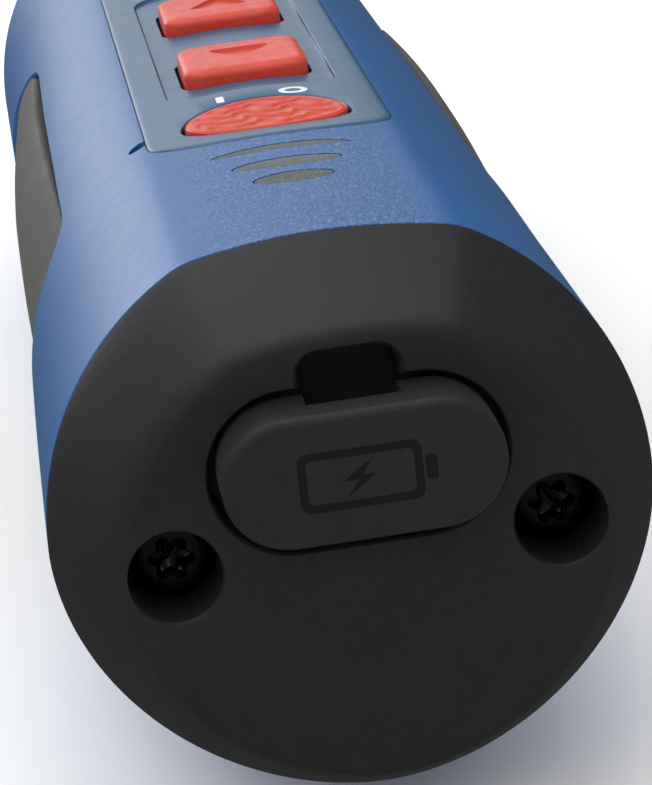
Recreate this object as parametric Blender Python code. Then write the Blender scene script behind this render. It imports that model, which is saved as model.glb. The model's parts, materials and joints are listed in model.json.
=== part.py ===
"""Non contact voltage tester: a round hand grip with a flat key deck, a black end cap and a sensing nose.

Everything is drawn in a design frame in millimetres: x to the right, y from the end cap's face (y = 0)
to the nose, z up from the body's long axis. One empty carries all the pieces and moves that frame so
that the tester rests on the plane z = 0 with the middle of its length at y = 0.
"""

from math import asin, cos, pi, radians, sin, sqrt

import bmesh
import bpy
from mathutils import Matrix, Vector

MM = 0.001
GAP = 0.3  # running gap between neighbouring pieces
SKIN = 0.2  # gap between faces that lie on each other
FAR = 30.0  # past the body on every side, for the ends of cutters

# Body shells
WALL = 3.0
DECK_WALL = 2.4
SEAM = 9.4  # where the end cap meets the shells
SHELL_END = 178.0
DECK_HALF = 9.5
DECK_TOP = 20.15
DECK_CURVE = 44.0  # radius of the crowned deck
# y, half width, deck height, deck half width, deck radius, depth below the axis, fullness of the shoulders
STATIONS = (
    (SEAM, 21.1, DECK_TOP, DECK_HALF, DECK_CURVE, 20.3, 0.0),
    (30.0, 20.9, DECK_TOP, DECK_HALF, DECK_CURVE, 20.3, 0.0),
    (45.0, 20.6, DECK_TOP, DECK_HALF, DECK_CURVE, 20.2, 0.2),
    (60.0, 20.1, DECK_TOP, DECK_HALF, DECK_CURVE, 20.1, 0.5),
    (80.0, 19.6, DECK_TOP, DECK_HALF, DECK_CURVE, 20.0, 0.7),
    (110.0, 19.4, DECK_TOP, DECK_HALF, DECK_CURVE, 20.0, 0.3),
    (136.0, 19.4, DECK_TOP, DECK_HALF, DECK_CURVE, 20.0, 0.1),
    (147.0, 19.4, 20.0, 9.3, 42.0, 19.8, 0.3),
    (155.0, 18.6, 19.0, 8.6, 34.0, 18.8, 0.2),
    (164.0, 16.4, 16.6, 7.0, 22.0, 16.5, 0.0),
    (172.0, 14.1, 14.2, 5.4, 15.0, 14.1, 0.0),
    (SHELL_END, 13.0, 13.0, 5.0, 13.0, 13.0, 0.0),
)
DECK_STEPS = 8
SIDE_STEPS = 7

# End cap
# The cap tapers to its face: share of the seam's section at shares of the way from the face to the seam
CAP_TAPER = ((0.0, 0.765), (0.04, 0.785), (0.3, 0.852), (0.65, 0.933), (1.0, 1.0))
CAP_HOLLOW = ((-8.4, 5.8, -14.0), (8.4, FAR, 13.0))
SPIGOT_R = 16.8
SPIGOT_END = 14.8
GROOVE_R = 15.9
GROOVE = (10.6, 12.4)
GASKET = ((16.2, 10.9), (17.15, 10.9), (17.15, 12.1), (16.2, 12.1))  # radius, y
BULKHEAD_R = 17.1
BULKHEAD = (15.2, 19.4)
BULKHEAD_OPENING = (8.4, 13.0)  # half width, half height
CAP_SCREW_X = 13.0
CAP_SCREW_Z = 0.5
COUNTERBORE_R = 3.15
COUNTERBORE_DEPTH = 5.9
CAP_SCREW_HEAD = (3.8, 5.6)
CAP_SCREW_HEAD_R = 2.8
CAP_SCREW_SHANK_R = 1.45
CAP_SCREW_END = 21.8
CAP_SCREW_CLEAR_R = 1.8
DRIVE_HALF = (1.5, 0.3)  # half length and half width of a screw's cross slot
DRIVE_DEPTH = 1.3

# Charging port
PORT_Z = 6.55
PORT_HALF = (10.05, 5.6)  # recess half width and half height
PORT_DEPTH = 4.2
COVER_HALF = (9.45, 4.5)
COVER_PROUD = 4.0
COVER_SUNK = 1.2
COVER_BOSS = (15.0, 7.0, 3.4)  # width, height, corner radius
COVER_BOSS_DEPTH = 3.4
COVER_EDGE = 0.5  # rounding of the proud face
COVER_Z = 7.0
NAIL_POCKET = (7.2, 6.0, 1.2)
NAIL_POCKET_Z = 11.4
NAIL_NOTCH = (3.4, -1.1, 9.6)  # half width, first y and lowest z of the notch in the cover
HINGE = (-1.2, 2.0)  # y and z of the cover's hinge axis
STRAP_HALF = 3.0
STRAP_NOTCH = (3.6, -1.6, 3.5)  # half width, first y and top z
STRAP_Z = (2.25, 2.95)
SOCKET_HALF = (4.5, 1.6)
SOCKET_WALL = 0.4
SOCKET_Z = 6.7
SOCKET_ENDS = (4.6, 12.0)
MOUTH = (9.8, 4.0, 1.5)
TONGUE = (6.4, 0.7, 0.3)
CHARGE_BOARD = ((-7.8, 6.4, 3.4), (7.8, 34.0, 4.8))

# Keys and deck openings
KEY_SIZE = (10.1, 10.4)
KEY_CORNER = 1.6
KEY_DOWN_Y = 63.3
KEY_PITCH = 21.2
KEY_PROUD = 1.1
POWER_Y = 44.0
POWER_HALF = (6.3, 6.0, 3.9)  # half width, reach to the nose, reach to the cap
KEY_FLOOR = -4.2  # underside of a key, below the deck's crown
KEY_FLANGE = 0.8
KEY_FLANGE_THICK = 1.1
# How far a key's outline has drawn in at depths below its top
KEY_ROUNDING = ((0.0, 0.8), (0.2, 0.35), (0.55, 0.1), (1.2, 0.0))
POWER_PROUD = 0.15
FASCIA = (-0.35, 0.3)  # underside and top above the deck
FASCIA_BED = -0.55  # floor of the shallow bed that the fascia lies in
FASCIA_HALF = 9.4
FASCIA_BOW = 4.8
FASCIA_ENDS = (37.7, 141.0)
RECESS = (13.6, 54.0, 96.5, 2.2)  # width, first y, last y, corner radius
WINDOW = (15.2, 104.0, 134.0, 1.6)
WINDOW_SPAN = (-1.2, 0.1)  # underside and top above the deck
DECK_CUT = (DECK_TOP - 8.0, DECK_TOP + 4.0)
NOTCH_R = 0.75
NOTCH = (-DECK_HALF - 0.35, 45.2)

# Sounder slots: y of the tips, half width, bulge to the nose, bulge to the cap
SLOTS = ((33.8, 5.3, 1.1, 0.7), (29.5, 4.1, 1.1, 1.7), (24.8, 3.0, 1.4, 1.8))

# Rubber pads
GRIP_POCKET = 2.1
GRIP_INNER = -1.8
GRIP_OUTER = -1.0  # skin at the ends of a grip
GRIP_CROWN = 1.4  # extra height half way along
GRIP_CORNERS = ((44.5, 12.8), (108.0, 12.0), (125.0, 0.0), (118.0, -13.0), (70.0, -14.0), (43.0, -3.0))
GRIP_MIDDLE = (87.0, -1.5)
GRIP_BEND = 3.0  # how far from a corner its rounding starts
GRIP_FACETS = (14.0, 3.4)  # spacing of its edge loops along and around
GRIP_RADIUS = 20.0  # radius that turns a pad's flat outline into angles round the body
REST_HALF = 8.6
REST_ENDS = (44.0, 134.0)
REST_CORNER = 5.0
REST_BED = -19.0
REST_Z = -21.9

# Electronics
BOARD_TOP = 10.6
BOARD_THICK = 1.6
SWITCH_HALF = 3.1
SWITCH_TOP = 14.0
SWITCH_WELL = (2.0, 11.9)  # radius and floor
PLUNGER_R = 1.7
PLUNGER_FOOT = 13.2
MAIN_BOARD = ((8.0, 22.0), (12.8, 38.0), (12.8, 134.0))  # half width from y
CHIP = ((-4.0, 72.2), (4.0, 80.2), 1.4)
BUZZER = (0.0, 30.0, 6.0, 15.4)  # x, y, radius, top
BUZZER_PORT_R = 1.1
BUZZER_FLOOR = 13.0
SOUNDER_PLATE = ((-6.6, 22.0), (6.6, 38.0))
SOUNDER_SPAN = (-4.4, -3.4)  # underside and top below the deck's crown
LCD_MODULE = ((-7.0, 105.0), (7.0, 133.0), 2.1)
CELL_R = 9.1
CELL_Z = -5.0
CELL_ENDS = (60.0, 125.0)
CELL_CAP_R = 3.0
CELL_CAP = 1.4  # how far the positive cap stands out
CRADLE_WALL = 1.3
TAB_HALF = 5.0
TAB_THICK = 0.7
TAB_TOP = 12.6

# Fasteners between the shells
SHELL_SCREWS = (("rear", 31.0, 12.4), ("front", 140.0, 11.8))
BOSS_R = 4.0
SHELL_SCREW_HEAD_R = 2.6
SHELL_SCREW_SEAT = -12.0
SHELL_SCREW_BORE_R = 2.95
SHELL_SCREW_HOLE_R = 1.7
SHELL_SCREW_SHANK_R = 1.35
SHELL_SCREW_TOP = 7.0

# Nose
RING_R = 12.8
RING_END = 184.0
NOSE_END = 222.0
NOSE_R = 12.6
SLEEVE_R = 9.7
SLEEVE_BORE_R = 8.4
SLEEVE = (172.0, 190.0)
NOSE_STRAIGHT = 3.0
NOSE_BEND = (1.6, 0.6)  # how late the nose starts to close, and how bluntly it ends
NOSE_HOLLOW = (191.0, 212.0)
NOSE_HOLLOW_R = 6.2
NOSE_STEPS = 11
ANTENNA = ((5.0, 193.0), (5.8, 193.0), (5.8, 210.0), (5.0, 210.0))  # radius, y
SENSOR_BOARD = ((-4.0, 146.0, -0.8), (4.0, 200.0, 0.8))
LED_Y = 181.0
LED = ((2.5, 1.0), (2.5, 3.6), (1.9, 5.0), (0.8, 5.8))  # radius, height from the board's middle

BODY_MIDDLE = (NOSE_END - COVER_PROUD) / 2


# ---------------------------------------------------------------- scene and materials


def clear_scene():
    for obj in list(bpy.data.objects):
        bpy.data.objects.remove(obj, do_unlink=True)


def material(name, colour, roughness, metallic=0.0, transmission=0.0):
    made = bpy.data.materials.new(name)
    made.use_nodes = True
    shader = made.node_tree.nodes["Principled BSDF"]
    shader.inputs["Base Color"].default_value = (*colour, 1.0)
    shader.inputs["Roughness"].default_value = roughness
    shader.inputs["Metallic"].default_value = metallic
    shader.inputs["Transmission Weight"].default_value = transmission
    made.diffuse_color = (*colour, 1.0)
    return made


def make_materials():
    return {
        "blue": material("blue_plastic", (0.035, 0.13, 0.36), 0.42),
        "fascia": material("fascia_plastic", (0.09, 0.18, 0.38), 0.35),
        "black": material("black_plastic", (0.018, 0.019, 0.021), 0.55),
        "rubber": material("grip_rubber", (0.045, 0.047, 0.040), 0.8),
        "port_rubber": material("port_rubber", (0.02, 0.022, 0.025), 0.7),
        "red": material("red_key", (0.72, 0.055, 0.035), 0.45),
        "grey": material("sounder_grey", (0.16, 0.18, 0.17), 0.75),
        "steel": material("black_steel", (0.05, 0.05, 0.055), 0.35, 1.0),
        "bright": material("nickel", (0.62, 0.61, 0.58), 0.3, 1.0),
        "board": material("circuit_board", (0.02, 0.16, 0.07), 0.5),
        "dark": material("dark_component", (0.015, 0.015, 0.016), 0.6),
        "cell": material("cell_sleeve", (0.05, 0.25, 0.55), 0.4),
        "white": material("white_plastic", (0.75, 0.75, 0.72), 0.5),
        "glass": material("clear_window", (0.55, 0.6, 0.62), 0.08, 0.0, 0.6),
        "ring": material("frosted_ring", (0.75, 0.2, 0.16), 0.35, 0.0, 0.5),
        "copper": material("copper", (0.72, 0.38, 0.22), 0.35, 1.0),
        "display": material("display_glass", (0.28, 0.33, 0.26), 0.2),
    }


def add_object(name, bm, slot, origin=(0.0, 0.0, 0.0)):
    """A piece drawn in the design frame, whose own origin lies at origin."""
    bmesh.ops.remove_doubles(bm, verts=bm.verts, dist=1e-4)
    bmesh.ops.triangulate(bm, faces=[face for face in bm.faces if len(face.verts) > 4])
    bmesh.ops.recalc_face_normals(bm, faces=bm.faces)
    bmesh.ops.translate(bm, verts=bm.verts, vec=-Vector(origin))
    bmesh.ops.scale(bm, verts=bm.verts, vec=(MM, MM, MM))
    mesh = bpy.data.meshes.new(name)
    bm.to_mesh(mesh)
    bm.free()
    mesh.shade_smooth()
    mesh.set_sharp_from_angle(angle=radians(35))
    obj = bpy.data.objects.new(name, mesh)
    obj.location = Vector(origin) * MM
    bpy.context.scene.collection.objects.link(obj)
    obj.parent = TESTER
    if slot:
        mesh.materials.append(MATERIALS[slot])
    return obj


def add_cutter(name, bm):
    obj = add_object(name, bm, None)
    obj.hide_render = True
    obj.display_type = "WIRE"
    return obj


def combine(obj, *others, operation="DIFFERENCE"):
    for other in others:
        modifier = obj.modifiers.new(other.name, "BOOLEAN")
        modifier.operation = operation
        modifier.object = other
        modifier.solver = "EXACT"
    return obj


# ---------------------------------------------------------------- shape helpers


def loft(rings, closed=False):
    """A solid through equal rings of points; closed joins the last ring to the first instead of capping."""
    bm = bmesh.new()
    rows = [[bm.verts.new(point) for point in ring] for ring in rings]
    pairs = list(zip(rows, rows[1:]))
    if closed:
        pairs.append((rows[-1], rows[0]))
    for low, high in pairs:
        for i in range(len(low)):
            j = (i + 1) % len(low)
            bm.faces.new((low[i], low[j], high[j], high[i]))
    if not closed:
        bm.faces.new(list(reversed(rows[0])))
        bm.faces.new(rows[-1])
    return bm


def circle(radius, y, centre=(0.0, 0.0), steps=28):
    angles = (2 * pi * i / steps for i in range(steps))
    return [(centre[0] + radius * cos(a), y, centre[1] + radius * sin(a)) for a in angles]


def turned(profile, centre=(0.0, 0.0), steps=28, hollow=False):
    """A piece turned about a line along y: profile lists (radius, y), and hollow closes it into a ring."""
    return loft([circle(r, y, centre, steps) for r, y in profile], closed=hollow)


def post(profile, x, y, steps=14):
    """A piece turned about an upright line at x, y: profile lists (radius, z)."""
    rings = []
    for radius, z in profile:
        angles = [2 * pi * i / steps for i in range(steps)]
        rings.append([(x + radius * cos(a), y + radius * sin(a), z) for a in angles])
    return loft(rings)


def block(low, high):
    corners = ((low[0], low[1]), (high[0], low[1]), (high[0], high[1]), (low[0], high[1]))
    return prism(corners, low[2], high[2])


def prism(outline, low, high):
    """An outline in x, y raised from z low to z high."""
    return loft([[(x, y, z) for x, y in outline] for z in (low, high)])


def upright(outline, first, last):
    """An outline in x, z carried along y from first to last."""
    return loft([[(x, y, z) for x, z in outline] for y in (first, last)])


def rounded(width, height, corner, centre=(0.0, 0.0), steps=4):
    """A rectangle with round corners."""
    points = []
    for quarter, (sx, sy) in enumerate(((1, 1), (-1, 1), (-1, -1), (1, -1))):
        mid = (centre[0] + sx * (width / 2 - corner), centre[1] + sy * (height / 2 - corner))
        for i in range(steps + 1):
            a = (quarter + i / steps) * pi / 2
            points.append((mid[0] + corner * cos(a), mid[1] + corner * sin(a)))
    return points


def between(width, first, last, corner, grow=0.0):
    """A rounded rectangle centred on x = 0 between two y values, grown on every side."""
    size = (width + 2 * grow, last - first + 2 * grow)
    return rounded(*size, corner + grow, (0.0, (first + last) / 2))


def power_outline(grow=0.0, steps=28):
    """The on/off key: half an ellipse towards the nose and a flatter half towards the cap."""
    half, ahead, behind = (value + grow for value in POWER_HALF)
    points = []
    for i in range(steps):
        a = 2 * pi * i / steps
        reach = ahead if sin(a) > 0 else behind
        points.append((half * cos(a), POWER_Y + reach * sin(a)))
    return points


def lens(y, half, ahead, behind, grow=0.0, steps=8):
    """A sounder slot: pointed tips at y, bowed ahead towards the nose and behind towards the cap."""
    points = []
    for bulge in (ahead + grow, -behind - grow):
        for i in range(steps):
            x = cos(pi * i / steps) * (half + 2 * grow)
            if bulge < 0:
                x = -x
            points.append((x, y + bulge * sin(pi * i / steps)))
    return points


def deck_height(x):
    return DECK_TOP - x * x / (2 * DECK_CURVE)


def cut_lines(bm, axis, spacing, reach):
    """Adds edge loops across a solid so that it can be bent."""
    normal = Vector([1.0 if i == axis else 0.0 for i in range(3)])
    count = int(reach / spacing)
    for i in range(-count, count + 1):
        geometry = bm.verts[:] + bm.edges[:] + bm.faces[:]
        bmesh.ops.bisect_plane(bm, geom=geometry, plane_co=normal * spacing * i, plane_no=normal)


def deck_plate(outline, low, high):
    """A plate that follows the deck's crown, between two heights above it."""
    bm = prism(outline, low, high)
    cut_lines(bm, 0, 2 * DECK_HALF / DECK_STEPS, DECK_HALF)
    for vert in bm.verts:
        vert.co.z += deck_height(vert.co.x)
    return bm


# ---------------------------------------------------------------- body sections


def station_at(y):
    """The body's section values at any y, by straight interpolation."""
    if y <= STATIONS[0][0]:
        return STATIONS[0][1:]
    for first, second in zip(STATIONS, STATIONS[1:]):
        if y <= second[0]:
            share = (y - first[0]) / (second[0] - first[0])
            return tuple(a + (b - a) * share for a, b in zip(first[1:], second[1:]))
    return STATIONS[-1][1:]


def upper_arc(values, inset=0.0, base=0.0):
    """Points of the upper half section as (x, z), from the right split line over the deck to the left."""
    half, top, deck_half, curve, _, shoulder = values
    half, top, deck_half = half - inset, top - inset * DECK_WALL / WALL, deck_half - inset / 2
    edge = top - deck_half**2 / (2 * curve)
    height = edge / sqrt(1 - (deck_half / half) ** 2)
    start = asin(edge / height)
    side = []
    for i in range(SIDE_STEPS):
        a = start * i / SIDE_STEPS
        full = half * cos(a) + shoulder * sin(pi * i / SIDE_STEPS)
        side.append((full, max(height * sin(a), base)))
    deck = []
    for i in range(DECK_STEPS + 1):
        x = deck_half * (1 - 2 * i / DECK_STEPS)
        deck.append((x, top - x * x / (2 * curve)))
    return side + deck + [(-x, z) for x, z in reversed(side)]


def lower_arc(values, inset=0.0, base=0.0):
    """Points of the lower half section as (x, z), from the left hand split line to the right."""
    half, _, _, _, depth, _ = values
    steps = 2 * SIDE_STEPS + 2
    points = []
    for i in range(steps + 1):
        a = pi * i / steps
        points.append((-(half - inset) * cos(a), min(-(depth - inset) * sin(a), -base)))
    return points


def ring_at(y, values, inset=0.0):
    """The whole section as a closed ring of points."""
    outline = upper_arc(values, inset) + lower_arc(values, inset)[1:-1]
    return [(x, y, z) for x, z in outline]


def side_point(along, around, out, side):
    """A point on the body's side: along y, around in millimetres above the split line, out from the skin."""
    half, top, deck_half, curve, depth, shoulder = station_at(along)
    edge = top - deck_half**2 / (2 * curve)
    height = edge / sqrt(1 - (deck_half / half) ** 2)
    a = around / GRIP_RADIUS
    rise = height if a > 0 else depth
    if a > 0:
        half += shoulder * sin(pi * a / asin(edge / height))
    point = Vector((side * half * cos(a), 0.0, rise * sin(a)))
    point += point.normalized() * out
    return (point.x, along, point.z)


def grip_outline(grow=0.0):
    """A side grip as (along, around): a leaf, blunt towards the cap, with a long slant to the nose."""
    middle = Vector(GRIP_MIDDLE)
    points = []
    for i, corner in enumerate(GRIP_CORNERS):
        here = Vector(corner)
        before = (Vector(GRIP_CORNERS[i - 1]) - here).normalized() * GRIP_BEND
        after = (Vector(GRIP_CORNERS[(i + 1) % len(GRIP_CORNERS)]) - here).normalized() * GRIP_BEND
        for share in (0.0, 0.25, 0.5, 0.75, 1.0):
            bend = (1 - share) ** 2 * before + share**2 * after
            point = here + bend
            points.append(point + (point - middle).normalized() * grow)
    return points


def grip_patch(side, low, high, grow=0.0, crowned=False):
    """A patch of the body's side skin, between two depths out from it."""
    bm = prism([tuple(point) for point in grip_outline(grow)], low, high)
    cut_lines(bm, 1, GRIP_FACETS[1], FAR)
    cut_lines(bm, 0, GRIP_FACETS[0], NOSE_END)
    first, last = GRIP_CORNERS[0][0], GRIP_CORNERS[2][0]
    for vert in bm.verts:
        along, around, out = vert.co
        if crowned and out > (low + high) / 2:
            out += GRIP_CROWN * sin(pi * min(max((along - first) / (last - first), 0.0), 1.0))
        vert.co = side_point(along, around, out, side)
    return bm


# ---------------------------------------------------------------- cutters


def boss_posts():
    posts = []
    for name, y, x in SHELL_SCREWS:
        for side, sign in (("left", -1), ("right", 1)):
            bm = post(((BOSS_R, -FAR), (BOSS_R, FAR)), sign * x, y)
            posts.append(add_cutter(f"cut_boss_{name}_{side}", bm))
    return posts


def cavity_cutter():
    """The hollow inside both shells, with the four screw posts left standing."""
    rings = [ring_at(SEAM - 4, station_at(SEAM), WALL)]
    rings += [ring_at(row[0], row[1:], WALL) for row in STATIONS]
    rings.append(ring_at(SHELL_END + 4, station_at(SHELL_END), WALL))
    return combine(add_cutter("cut_cavity", loft(rings)), *boss_posts())


def screw_hole_cutters():
    lower, upper = [], []
    for name, y, x in SHELL_SCREWS:
        for side, sign in (("left", -1), ("right", 1)):
            profile = ((SHELL_SCREW_BORE_R, -FAR), (SHELL_SCREW_BORE_R, SHELL_SCREW_SEAT))
            profile += ((SHELL_SCREW_HOLE_R, SHELL_SCREW_SEAT), (SHELL_SCREW_HOLE_R, 2.0))
            lower.append(add_cutter(f"cut_counterbore_{name}_{side}", post(profile, sign * x, y)))
            profile = ((SHELL_SCREW_HOLE_R, -2.0), (SHELL_SCREW_HOLE_R, SHELL_SCREW_TOP + 0.5))
            hole = post(profile, sign * x, y)
            upper.append(add_cutter(f"cut_pilot_{name}_{side}", hole))
    return lower, upper


def grip_pockets():
    pockets = []
    for name, side in (("left", -1), ("right", 1)):
        bm = grip_patch(side, -GRIP_POCKET, GRIP_POCKET, grow=GAP)
        pockets.append(add_cutter(f"cut_grip_{name}", bm))
    return pockets


def deck_cutters():
    """Openings through the deck for the keys, the display and the sounder."""
    low, high = DECK_CUT
    cutters = []
    for name, y in KEYS:
        width, length = (size + 2 * GAP for size in KEY_SIZE)
        outline = rounded(width, length, KEY_CORNER + GAP, (0.0, y))
        cutters.append(add_cutter(f"cut_{name}", prism(outline, low, high)))
    cutters.append(add_cutter("cut_key_power", prism(power_outline(GAP), low, high)))
    cutters.append(add_cutter("cut_window", prism(between(*WINDOW, grow=GAP), low, high)))
    for i, slot in enumerate(SLOTS):
        cutters.append(add_cutter(f"cut_slot_{i + 1}", prism(lens(*slot), low, high)))
    cutters.append(add_cutter("cut_fascia_bed", deck_plate(fascia_outline(SKIN), FASCIA_BED, 3.0)))
    return cutters


# ---------------------------------------------------------------- housing


def make_shells():
    cavity = cavity_cutter()
    lower_holes, upper_holes = screw_hole_cutters()
    grips = grip_pockets()
    rest = add_cutter("cut_rest_pad", rest_block(GAP, REST_BED, -FAR))
    notch = add_cutter("cut_deck_notch", deck_notch())
    upper = [[(x, row[0], z) for x, z in upper_arc(row[1:], base=SKIN / 2)] for row in STATIONS]
    top = add_object("upper_shell", loft(upper), "blue")
    combine(top, cavity, *grips, *upper_holes, *deck_cutters(), notch)
    lower = [[(x, row[0], z) for x, z in lower_arc(row[1:], base=SKIN / 2)] for row in STATIONS]
    combine(add_object("lower_shell", loft(lower), "blue"), cavity, *grips, *lower_holes, rest)


def deck_notch():
    """A small release hole in the deck's left edge, beside the fascia's corner."""
    return post(((NOTCH_R, DECK_TOP - 2.6), (NOTCH_R, DECK_TOP + 1.0)), *NOTCH)


def fascia_outline(grow=0.0, steps=12):
    """The fascia, with a shallow bow at each end."""
    (first, last), bow = FASCIA_ENDS, FASCIA_BOW
    points = []
    for i in range(steps + 1):
        a = pi * i / steps
        points.append((-(FASCIA_HALF + grow) * cos(a), first + bow - (bow + grow) * sin(a)))
    for i in range(steps + 1):
        a = pi * i / steps
        points.append(((FASCIA_HALF + grow) * cos(a), last - bow + (bow + grow) * sin(a)))
    return points


def make_fascia():
    plate = add_object("fascia", deck_plate(fascia_outline(), *FASCIA), "fascia")
    low, high = DECK_CUT
    cuts = [add_cutter("cut_recess", prism(between(*RECESS), low, high))]
    cuts.append(add_cutter("cut_fascia_power", prism(power_outline(GAP), low, high)))
    cuts.append(add_cutter("cut_fascia_window", prism(between(*WINDOW, grow=SKIN), low, high)))
    combine(plate, *cuts)


def rest_block(grow, top, bottom):
    outline = between(2 * REST_HALF, *REST_ENDS, REST_CORNER, grow)
    return prism(outline, bottom, top)


def make_rubber():
    for name, side in (("left", -1), ("right", 1)):
        bm = grip_patch(side, GRIP_INNER, GRIP_OUTER, crowned=True)
        add_object(f"grip_{name}", bm, "rubber")
    bm = rest_block(0.0, REST_BED - GAP, REST_Z)
    add_object("rest_pad", bm, "rubber")


def cap_rings():
    section = upper_arc(STATIONS[0][1:]) + lower_arc(STATIONS[0][1:])[1:-1]
    rings = []
    for share, scale in CAP_TAPER:
        y = (SEAM - SKIN) * share
        rings.append([(x * scale, y, z * scale) for x, z in section])
    steps = ((SPIGOT_R, SEAM - SKIN), (SPIGOT_R, GROOVE[0]), (GROOVE_R, GROOVE[0]))
    steps += ((GROOVE_R, GROOVE[1]), (SPIGOT_R, GROOVE[1]), (SPIGOT_R, SPIGOT_END))
    for radius, y in steps:
        ring = []
        for x, z in section:
            scale = radius / sqrt(x * x + z * z)
            ring.append((x * scale, y, z * scale))
        rings.append(ring)
    return rings


def port_outline(half, z=PORT_Z, steps=8):
    """An upright rounded slot in x, z whose ends are half circles."""
    return rounded(2 * half[0], 2 * half[1], half[1] - 0.001, (0.0, z), steps)


def make_end_cap():
    cap = add_object("end_cap", loft(cap_rings()), "black")
    hollow = add_cutter("cut_cap_hollow", block(*CAP_HOLLOW))
    recess = add_cutter("cut_port_recess", upright(port_outline(PORT_HALF), -2.0, PORT_DEPTH))
    pocket = rounded(*NAIL_POCKET, (0.0, NAIL_POCKET_Z))
    finger = add_cutter("cut_finger_pocket", upright(pocket, -2.0, PORT_DEPTH - 0.4))
    mouth = rounded(*MOUTH, (0.0, SOCKET_Z))
    cuts = [hollow, recess, finger, add_cutter("cut_port_mouth", upright(mouth, 2.0, 8.0))]
    for name, sign in (("left", -1), ("right", 1)):
        profile = ((COUNTERBORE_R, -2.0), (COUNTERBORE_R, COUNTERBORE_DEPTH))
        profile += ((CAP_SCREW_CLEAR_R, COUNTERBORE_DEPTH), (CAP_SCREW_CLEAR_R, FAR))
        bm = turned(profile, (sign * CAP_SCREW_X, CAP_SCREW_Z))
        cuts.append(add_cutter(f"cut_cap_screw_{name}", bm))
    combine(cap, *cuts)

    add_object("end_cap_gasket", turned(GASKET, steps=32, hollow=True), "rubber")

    for name, sign in (("left", -1), ("right", 1)):
        centre = (sign * CAP_SCREW_X, CAP_SCREW_Z)
        first, seat = CAP_SCREW_HEAD
        profile = ((CAP_SCREW_HEAD_R - 0.5, first), (CAP_SCREW_HEAD_R, first + 0.5))
        profile += ((CAP_SCREW_HEAD_R, seat), (CAP_SCREW_SHANK_R, seat))
        profile += ((CAP_SCREW_SHANK_R, CAP_SCREW_END - 0.8), (1.0, CAP_SCREW_END))
        screw = add_object(f"end_cap_screw_{name}", turned(profile, centre, 16), "steel")
        for i, (x, z) in enumerate((DRIVE_HALF, DRIVE_HALF[::-1])):
            low = (centre[0] - x, first - 1.0, centre[1] - z)
            high = (centre[0] + x, first + DRIVE_DEPTH, centre[1] + z)
            combine(screw, add_cutter(f"cut_drive_{name}_{i}", block(low, high)))

    disc = turned([(BULKHEAD_R, y) for y in BULKHEAD])
    bulkhead = add_object("rear_bulkhead", disc, "dark")
    half, height = BULKHEAD_OPENING
    opening = add_cutter("cut_bulkhead", block((-half, 0.0, -height), (half, FAR, height)))
    holes = []
    for name, sign in (("left", -1), ("right", 1)):
        bore = ((CAP_SCREW_CLEAR_R, 0.0), (CAP_SCREW_CLEAR_R, FAR))
        bm = turned(bore, (sign * CAP_SCREW_X, CAP_SCREW_Z), 20)
        holes.append(add_cutter(f"cut_bulkhead_{name}", bm))
    combine(bulkhead, opening, *holes)


def make_port_cover():
    """The proud rubber cover, its boss inside the recess, and the strap it hinges on."""
    half, height = COVER_HALF
    rings = []
    steps = ((0.0, COVER_SUNK), (0.0, COVER_EDGE - COVER_PROUD))
    steps += ((0.3 * COVER_EDGE, 0.3 * COVER_EDGE - COVER_PROUD), (COVER_EDGE, -COVER_PROUD))
    for inset, y in steps:
        outline = port_outline((half - inset, height - inset), COVER_Z)
        rings.append([(x, y, z) for x, z in outline])
    boss_outline = rounded(*COVER_BOSS, (0.0, COVER_Z), 8)
    rings.insert(0, [(x, COVER_SUNK, z) for x, z in boss_outline])
    rings.insert(0, [(x, COVER_BOSS_DEPTH, z) for x, z in boss_outline])
    pivot = (0.0, *HINGE)
    cover = add_object("usb_cover", loft(rings), "port_rubber", pivot)
    half, first, low = NAIL_NOTCH
    nail = add_cutter("cut_cover_nail", block((-half, first, low), (half, FAR, FAR)))
    half, first, high = STRAP_NOTCH
    notch = add_cutter("cut_cover_strap", block((-half, first, 0.0), (half, FAR, high)))
    combine(cover, nail, notch)
    low, high = STRAP_Z
    strap = block((-STRAP_HALF, HINGE[0], low), (STRAP_HALF, PORT_DEPTH - SKIN, high))
    add_object("usb_cover_strap", strap, "port_rubber")


def make_charging():
    add_object("charge_board", block(*CHARGE_BOARD), "board")
    half, height = SOCKET_HALF
    first, last = SOCKET_ENDS
    outline = rounded(2 * half, 2 * height, height - GAP, (0.0, SOCKET_Z))
    socket = add_object("usb_socket", upright(outline, first, last), "bright")
    size = (2 * (half - SOCKET_WALL), 2 * (height - SOCKET_WALL))
    inner = rounded(*size, height - SOCKET_WALL - SKIN, (0.0, SOCKET_Z))
    combine(socket, add_cutter("cut_socket", upright(inner, 0.0, last - 0.8)))
    tongue = rounded(*TONGUE, (0.0, SOCKET_Z), 3)
    add_object("usb_contact_tongue", upright(tongue, first + 0.8, last - 0.8 - GAP), "dark")


# ---------------------------------------------------------------- keys and electronics


def key_body(outline_at, proud):
    """A key: flange under the deck, straight wall, rounded top. outline_at(inset) gives its outline."""
    floor, top = DECK_TOP + KEY_FLOOR, DECK_TOP + proud
    ledge = floor + KEY_FLANGE_THICK
    steps = [(-KEY_FLANGE, floor), (-KEY_FLANGE, ledge), (0.0, ledge)]
    steps += [(inset, top - depth) for inset, depth in KEY_ROUNDING]
    return loft([[(x, y, z) for x, y in outline_at(inset)] for inset, z in steps])


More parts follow.
